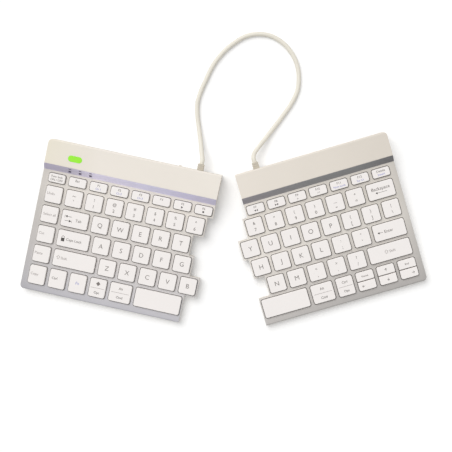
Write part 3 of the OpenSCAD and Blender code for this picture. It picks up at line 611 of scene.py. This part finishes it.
def tone_along(material, way, low, high, tones):
    """Gives a material colours that follow one direction, from low to high along it. A second call
    for the same material multiplies the colours of the first."""
    tree = material.node_tree
    base = tree.nodes["moulded_grain"].inputs["Colour"]
    place = tree.nodes.new("ShaderNodeTexCoord")
    along = tree.nodes.new("ShaderNodeVectorMath")
    along.operation = "DOT_PRODUCT"
    along.inputs[1].default_value = way
    share = tree.nodes.new("ShaderNodeMapRange")
    share.inputs["From Min"].default_value = low
    share.inputs["From Max"].default_value = high
    ramp = tree.nodes.new("ShaderNodeValToRGB")
    while len(ramp.color_ramp.elements) < len(tones):
        ramp.color_ramp.elements.new(0.5)
    for stop, (position, colour) in zip(ramp.color_ramp.elements, tones):
        stop.position = position
        stop.color = colour
    tree.links.new(place.outputs["Object"], along.inputs[0])
    tree.links.new(along.outputs["Value"], share.inputs["Value"])
    tree.links.new(share.outputs["Result"], ramp.inputs["Fac"])
    made = ramp.outputs["Color"]
    if base.is_linked:
        both = tree.nodes.new("ShaderNodeVectorMath")
        both.operation = "MULTIPLY"
        tree.links.new(base.links[0].from_socket, both.inputs[0])
        tree.links.new(made, both.inputs[1])
        made = both.outputs["Vector"]
    tree.links.new(made, base)


def plain_on_walls(material, plain):
    """Keeps a material's tones, with their painted shade, to faces that look up, and fades to one plain
    colour on upright walls.
    """
    tree = material.node_tree
    base = tree.nodes["moulded_grain"].inputs["Colour"]
    face = tree.nodes.new("ShaderNodeNewGeometry")
    upward = tree.nodes.new("ShaderNodeSeparateXYZ")
    share = tree.nodes.new("ShaderNodeMapRange")
    share.inputs["From Max"].default_value = wall_fade
    mix = tree.nodes.new("ShaderNodeMixRGB")
    mix.inputs["Color1"].default_value = plain
    tree.links.new(face.outputs["Normal"], upward.inputs["Vector"])
    tree.links.new(upward.outputs["Z"], share.inputs["Value"])
    tree.links.new(share.outputs["Result"], mix.inputs["Fac"])
    tree.links.new(base.links[0].from_socket, mix.inputs["Color2"])
    tree.links.new(mix.outputs["Color"], base)


for half, side in sides.items():
    deck_top = key_tops[key_nodes[half][0]][0][1].z - key_rise
    shell = shape_on_deck(side + "_top_case", half)
    low, high = extent(shell.verts)
    ease(shell, sharp_edges(shell, deck_top) + sharp_edges(shell, deck_top - parting_drop), window_edge)
    # faces of the deck take the painted shade, and those of the ridge the ridge's colour
    for face in shell.faces:
        face.material_index = face.calc_center_median().z > deck_top + ridge_start
    across, back = (decks[half].to_3x3() @ Vector(way) for way in ((1, 0, 0), (0, 1, 0)))
    deck_plastic = moulded(side + "_deck_plastic", case_white, gloss=0.6)
    tone_along(deck_plastic, back, low.y, high.y, deck_painted_shade[half])
    # the painted falloff across the half, multiplied into the painted shade from front to back
    shades = [(p, (shade, shade, shade, 1)) for p, shade in painted_falloff_across[half]]
    tone_along(deck_plastic, across, low.x, high.x, shades)
    ridge_plastic = moulded(side + "_ridge_plastic", case_white, gloss=0.6)
    tone_along(ridge_plastic, across, low.x, high.x, ridge_colour_and_painted_falloff[half])
    plain_on_walls(deck_plastic, case_white)
    plain_on_walls(ridge_plastic, case_white)
    finished(side + "_shell", shell, half, half, [deck_plastic, ridge_plastic], side + "_top_case")


# Bands: satin film strips on the sloped step between deck and ridge; their colours are painted reflection
# and shade, lavender left and grey right.
# They are glued in a shallow seat and folded over its upper edge, and their ends are painted darker as
# shade.
# Painted reflection and shade along each band: lavender and lightest near the middle on the left, darker at
# its ends; dark grey on the right, darkest at its outer end.
band_painted_reflection = {
    "left": [(0, ink(194, 187, 208)), (0.14, ink(197, 191, 209)), (0.3, ink(240, 233, 253)),
             (0.65, ink(227, 224, 247)), (0.85, ink(215, 210, 235)), (1, ink(205, 200, 221))],
    "right": [(0, ink(156, 152, 157)), (0.45, ink(146, 146, 147)), (0.8, ink(141, 141, 142)),
              (1, ink(120, 119, 121))],
}
band_fold = 0.35 * MM
fold_level = 0.9
# the fold over the upper edge is a copy of the film darkened by this much, as painted shade
fold_painted_shade = 0.78
for half, side in sides.items():
    band = shape_on_deck(side + "_band", half)
    low, high = extent(band.verts)
    ease(band, sharp_edges(band, high.z), band_fold)
    # faces that look up, on the fold, take the darkened copy as painted shade
    for face in band.faces:
        face.material_index = face.normal.z > fold_level
    films = []
    for name, shade in (("_band_film", 1), ("_band_fold_painted_shade", fold_painted_shade)):
        tones = [(p, (*(c * shade for c in colour[:3]), 1)) for p, colour in band_painted_reflection[side]]
        film = moulded(side + name, tones[0][1], gloss=0.5, mottle=0.02, grain=1800, depth=0.004 * MM)
        tone_along(film, decks[half].to_3x3() @ Vector((1, 0, 0)), low.x, high.x, tones)
        films.append(film)
    finished(side + "_band_strip", band, half, half, films, side + "_band")


# Indicator lenses: clear green acrylic in the ridge, lit from the board, and three smoked lock lights
# on the band, each with a printed dash above it. They press in from behind and stand a hair proud.
lens_edge = 0.15 * MM
lenses = shape_on_deck("indicator_lenses", "left_half")
ease(lenses, sharp_edges(lenses), lens_edge)
lit_green = ink(150, 232, 52)
lens_depth = 0.004 * MM
lens_green = moulded("lens_green", lit_green, gloss=0.3, mottle=0.05, grain=500, depth=lens_depth)
lens_light = lens_green.node_tree.nodes["Principled BSDF"].inputs
lens_light["Emission Color"].default_value = lit_green
lens_light["Emission Strength"].default_value = 0.15
lens_smoke = moulded("lens_smoke", ink(96, 88, 112), gloss=0.3, mottle=0.05, grain=500, depth=lens_depth)
status_width = 6 * MM
band_lean = 4.65 / 4.5
band_slope = Matrix.Rotation(math.atan(1 / band_lean), 4, "X")
dash_size = (2.3 * MM, 0.9 * MM, print_thick, 1)
dash_rise = 4.05 * MM
band_shape = shape_on_deck("left_band", "left_half")
band_foot = extent(band_shape.verts)[0]
band_shape.free()
dashes = bmesh.new()
for solid in solids(lenses):
    low, high = extent(solid)
    if high.x - low.x < status_width:
        for face in {f for v in solid for f in v.link_faces}:
            face.material_index = 1
        across = (low.x + high.x) / 2
        place = Vector((across, band_foot.y + dash_rise * band_lean, band_foot.z + dash_rise))
        bmesh.ops.create_cube(
            dashes, size=1, matrix=Matrix.Translation(place) @ band_slope @ Matrix.Diagonal(dash_size))
finished("indicator_windows", lenses, "left_half", "left_half", [lens_green, lens_smoke],
         "indicator_lenses")
finished("lock_dashes", dashes, "left_half", "left_half",
         moulded("dash_print", ink(104, 92, 118), gloss=0.6))


# Case screws: zinc-plated steel self-tappers with a cross recess, driven in from below.
# Five hold the left half together, and as many the right.
screw_steel = make_steel("screw_steel", ink(172, 174, 178), 0.5, 2400)
dress("left_screws", screw_steel)
dress("right_screws", screw_steel)


# Feet: low discs of dark grey rubber, glued in shallow seats under the corners of each half.
# They are a little dusty and have a soft lower rim.
foot_edge = 0.25 * MM
foot_rubber = moulded("foot_rubber", ink(66, 66, 68), gloss=0.9, mottle=0.12, grain=1200,
                      depth=0.04 * MM)
for half, side in sides.items():
    feet = shape_on_deck(side + "_feet", half)
    feet.transform(decks[half])
    ease(feet, sharp_edges(feet, 0), foot_edge)
    feet.transform(decks[half].inverted())
    finished(side + "_rubber_feet", feet, half, half, foot_rubber, side + "_feet")


# Cable glands: short square sleeves of soft beige PVC, moulded on the cable's ends.
# Their flanges sit behind the back wall, and two grooves let the sleeve bend with the cable.
gland_edge = 0.5 * MM
groove_starts = (1.5 * MM, 3.4 * MM)
groove_cuts = (0, 0.15 * MM, 0.75 * MM, 0.9 * MM)
groove_pinch = 0.9
cut_merge = 0.001 * MM
cut_reach = 0.01 * MM
gland_length = 6 * MM
gland_rubber = moulded("gland_rubber", ink(200, 192, 177), gloss=0.7, grain=1600)
exits, ways_out = {}, {}
for half, side in sides.items():
    gland = shape_on_deck(side + "_gland", half)
    low, high = extent(gland.verts)
    exits[side] = decks[half] @ Vector([(low.x + high.x) / 2, high.y, (low.z + high.z) / 2])
    ways_out[side] = decks[half].to_3x3() @ Vector((0, 1, 0))
    ease(gland, sharp_edges(gland), gland_edge)
    middle = (low + high) / 2
    for start in groove_starts:
        cuts = [high.y - gland_length + start + cut for cut in groove_cuts]
        for cut in cuts:
            bmesh.ops.bisect_plane(
                gland, geom=gland.verts[:] + gland.edges[:] + gland.faces[:], dist=cut_merge,
                plane_co=(0, cut, 0), plane_no=(0, 1, 0))
        bed = [v for v in gland.verts if cuts[1] - cut_reach < v.co.y < cuts[2] + cut_reach]
        bmesh.ops.scale(
            gland, vec=(groove_pinch, 1, groove_pinch), space=Matrix.Translation(-middle), verts=bed)
    finished(side + "_sleeve", gland, half, half, gland_rubber, side + "_gland")


# Link cable: a round lead in a cream PVC jacket that carries the signals between the halves.
# It leaves each gland straight, drops to the desk and lies there in one loose loop.
cable_width = 4 * MM
cable_rings = 6
cable_points = [
    (-18.5, 71, 9), (-19.5, 80, 5.2), (-21.5, 95, 2.3), (-22.8, 106, 2.1), (-22.5, 117, 2.1),
    (-19.5, 127, 2.1), (-15, 137, 2.1), (-8, 151, 2.1), (1, 162.5, 2.1), (11, 171, 2.1),
    (22, 177.2, 2.1), (34, 179.2, 2.1), (46, 177, 2.1), (57, 170, 2.1), (65, 160, 2.1),
    (69.5, 148.5, 2.1), (70.5, 136, 2.1), (68.5, 125, 2.1), (62.5, 113.5, 2.1), (55, 103, 2.3),
    (47, 92.5, 3), (40, 83.5, 5), (33.5, 75, 8), (29.8, 69.5, 9.7)]
route = [
    exits["left"], exits["left"] + ways_out["left"] * cable_width,
    *[Vector(p) * MM for p in cable_points],
    exits["right"] + ways_out["right"] * cable_width, exits["right"]]


def through(points, steps):
    """A smooth line through points: each stretch turns with the points before and after it."""
    line = []
    for i in range(len(points) - 1):
        before, start, end, after = (points[max(0, min(len(points) - 1, i + k))] for k in (-1, 0, 1, 2))
        square = 2 * before - 5 * start + 4 * end - after
        cube = 3 * start - before - 3 * end + after
        for step in range(steps):
            t = step / steps
            line.append(0.5 * (2 * start + (end - before) * t + square * t**2 + cube * t**3))
    return line + [points[-1]]


cable_line = through(route, cable_rings)
cable_curve = bpy.data.curves.new("link_cable_line", "CURVE")
cable_curve.dimensions = "3D"
cable_curve.bevel_depth = cable_width / 2
cable_curve.bevel_resolution = 6
cable_curve.use_fill_caps = True
spline = cable_curve.splines.new("POLY")
spline.points.add(len(cable_line) - 1)
for point, place in zip(spline.points, cable_line):
    point.co = (*place, 1)
cable_mesh = bpy.data.meshes.new_from_object(bpy.data.objects.new("link_cable_line", cable_curve))
cable_mesh.name = "link_lead"
cable_mesh.shade_smooth()
cable_jacket = moulded("cable_jacket", ink(236, 231, 218), gloss=0.58, mottle=0.02, grain=1400)
cable_mesh.materials.append(cable_jacket)
cable = bpy.data.objects.new("link_lead", cable_mesh)
bpy.context.scene.collection.objects.link(cable)
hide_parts("link_cable")
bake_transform(cable, "left_half", "right_half", start=(exits["left"].x, 0, 0), end=(exits["right"].x, 0, 0))
# the turn between the halves is shared out along the lead, not across the gap, so the loop bends evenly
stations = KDTree(len(cable_line))
for number, place in enumerate(cable_line):
    stations.insert(place, number)
stations.balance()
reached = [stations.find(v.co)[1] / (len(cable_line) - 1) for v in cable_mesh.vertices]
shares = [t * t * (3 - 2 * t) for t in reached]
cable_mesh.attributes["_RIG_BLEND"].data.foreach_set("value", shares)


# Studio: a plain white floor that keeps the object's shadow, soft light from the back left,
# and a camera straight above, as the photograph was taken.
floor_size = 40
floor_tone = 0.9
floor_glow = 0.17
sky_strength = 0.47
light_angle = math.radians(45)
light_energy = 1.83
light_place = (-0.47, 0.65, 1.25)
camera_lens = 87.508
camera_place = (39.1 * MM, 19.8 * MM, 1.014)
camera_turn = (-0.955, 2.018, -0.112)
floor_shape = bmesh.new()
bmesh.ops.create_grid(floor_shape, x_segments=1, y_segments=1, size=floor_size / 2)
floor_mesh = bpy.data.meshes.new("floor")
floor_shape.to_mesh(floor_mesh)
floor_shape.free()
floor_white = bpy.data.materials.new("floor_white")
floor_white.use_nodes = True
floor_tree = floor_white.node_tree
floor_surface = floor_tree.nodes["Principled BSDF"]
floor_surface.inputs["Base Color"].default_value = (floor_tone, floor_tone, floor_tone, 1)
floor_surface.inputs["Roughness"].default_value = 1
floor_surface.inputs["Specular IOR Level"].default_value = 0
floor_surface.inputs["Emission Color"].default_value = (1, 1, 1, 1)
seen_by = floor_tree.nodes.new("ShaderNodeLightPath")
straight = floor_tree.nodes.new("ShaderNodeMath")
straight.operation = "MAXIMUM"
any_view = floor_tree.nodes.new("ShaderNodeMath")
any_view.operation = "MAXIMUM"
glow = floor_tree.nodes.new("ShaderNodeMath")
glow.operation = "MULTIPLY"
glow.inputs[1].default_value = floor_glow
floor_tree.links.new(seen_by.outputs["Is Camera Ray"], straight.inputs[0])
floor_tree.links.new(seen_by.outputs["Is Glossy Ray"], straight.inputs[1])
floor_tree.links.new(straight.outputs["Value"], any_view.inputs[0])
floor_tree.links.new(seen_by.outputs["Is Transmission Ray"], any_view.inputs[1])
floor_tree.links.new(any_view.outputs["Value"], glow.inputs[0])
floor_tree.links.new(glow.outputs["Value"], floor_surface.inputs["Emission Strength"])
floor_mesh.materials.append(floor_white)
floor = bpy.data.objects.new("floor", floor_mesh)
bpy.context.scene.collection.objects.link(floor)

sky = bpy.data.worlds.new("studio")
sky.use_nodes = True
sky.node_tree.nodes["Background"].inputs["Color"].default_value = (1, 1, 1, 1)
sky.node_tree.nodes["Background"].inputs["Strength"].default_value = sky_strength
bpy.context.scene.world = sky

lamp_data = bpy.data.lights.new("soft_light", "SUN")
lamp_data.angle = light_angle
lamp_data.energy = light_energy
lamp = bpy.data.objects.new("soft_light", lamp_data)
lamp.location = light_place
lamp.rotation_euler = (-Vector(lamp.location)).to_track_quat("-Z", "Y").to_euler()
bpy.context.scene.collection.objects.link(lamp)

camera_data = bpy.data.cameras.new("camera")
camera_data.lens = camera_lens
camera_data.sensor_width = 36
camera = bpy.data.objects.new("camera", camera_data)
camera.location = camera_place
camera.rotation_euler = [math.radians(a) for a in camera_turn]
bpy.context.scene.collection.objects.link(camera)
bpy.context.scene.camera = camera
bpy.context.scene.view_settings.view_transform = "Standard"
